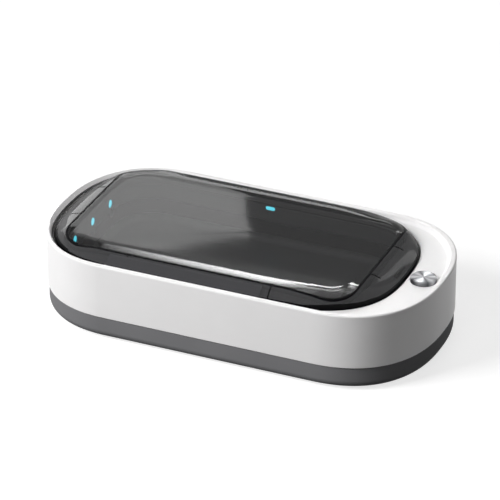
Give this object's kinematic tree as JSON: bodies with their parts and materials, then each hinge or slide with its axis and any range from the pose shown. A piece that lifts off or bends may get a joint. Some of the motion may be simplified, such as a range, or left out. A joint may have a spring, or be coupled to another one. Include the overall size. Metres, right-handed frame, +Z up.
{
  "type": "ultraviolet sanitiser box",
  "caption": "Long rounded tray with a recessed smoked window lid hinged at the rear, lit chamber with a charging pad, grey base and a round metal push button.",
  "frame": {"origin": "on the surface that the feet stand on, under the middle of the body", "axes": "+X towards the button end, +Y towards the hinges at the rear, +Z up"},
  "size_m": [0.2222, 0.118, 0.0494],
  "materials": {
    "white_abs": "satin moulded ABS, white",
    "grey_abs": "fine matt moulded ABS, mid grey",
    "liner_abs": "smooth dark grey ABS",
    "smoked_pc": "clear polished polycarbonate, smoked grey",
    "black_silicone": "matt black silicone rubber",
    "spun_aluminium": "spun concentric brushing, bright bevelled edge",
    "white_pom": "unpainted acetal",
    "spring_steel": "drawn wire",
    "zinc": "zinc-plated steel",
    "nickel": "nickel plating",
    "green_board": "green solder mask",
    "black_part": "moulded black plastic",
    "led_lens": "clear lens lit pale cyan",
    "copper": "wound enamelled copper, drawn as one ring",
    "ferrite": "pressed ferrite sheet"
  },
  "bodies": {
    "case": {"base_cover": "grey_abs", "button_board": "green_board", "button_board_screw_front": "zinc", "button_board_screw_rear": "zinc", "button_spring": "spring_steel", "case_screw_left_front": "zinc", "case_screw_left_rear": "zinc", "case_screw_right_front": "zinc", "case_screw_right_rear": "zinc", "catch_plate_left": "zinc", "catch_plate_right": "zinc", "chamber_liner": "liner_abs", "charging_coil": "copper", "charging_pad": "black_silicone", "ferrite_plate": "ferrite", "foot_front_left": "black_silicone", "foot_front_right": "black_silicone", "foot_rear_left": "black_silicone", "foot_rear_right": "black_silicone", "hinge_bracket_left": "zinc", "hinge_bracket_right": "zinc", "led_board_front": "green_board", "led_board_left": "green_board", "led_board_rear": "green_board", "led_board_right": "green_board", "lid_sensor": "black_part", "main_board": "green_board", "main_board_screw_left_front": "zinc", "main_board_screw_left_rear": "zinc", "main_board_screw_right_front": "zinc", "main_board_screw_right_rear": "zinc", "tact_switch": "black_part", "upper_housing": "white_abs", "usb_socket": "nickel", "usb_tongue": "black_part", "uv_led_front": "led_lens", "uv_led_left_back": "led_lens", "uv_led_left_front": "led_lens", "uv_led_left_middle": "led_lens", "uv_led_rear": "led_lens", "uv_led_right_back": "led_lens", "uv_led_right_front": "led_lens", "uv_led_right_middle": "led_lens"},
    "lid": {"lid_frame": "smoked_pc", "lid_window": "smoked_pc", "window_seal": "black_silicone", "lid_gasket": "black_silicone", "lid_magnet_left": "nickel", "lid_magnet_right": "nickel", "hinge_pin_left": "nickel", "hinge_pin_right": "nickel"},
    "button": {"button_cap": "spun_aluminium", "button_stem": "white_pom", "switch_plunger": "black_part"}
  },
  "joints": [
    {"name": "lid_hinge", "type": "hinge", "parent": "case", "child": "lid", "pos_m": [-0.0085, 0.0508, 0.0436], "axis": [-1, 0, 0], "range_deg": [0, 88]},
    {"name": "button_press", "type": "slide", "parent": "case", "child": "button", "axis": [0, 0, -1], "range_m": [0, 0.0008], "stiffness_N_per_m": 2500, "springref_m": -0.0004, "deforming": ["button_spring"]}
  ]
}
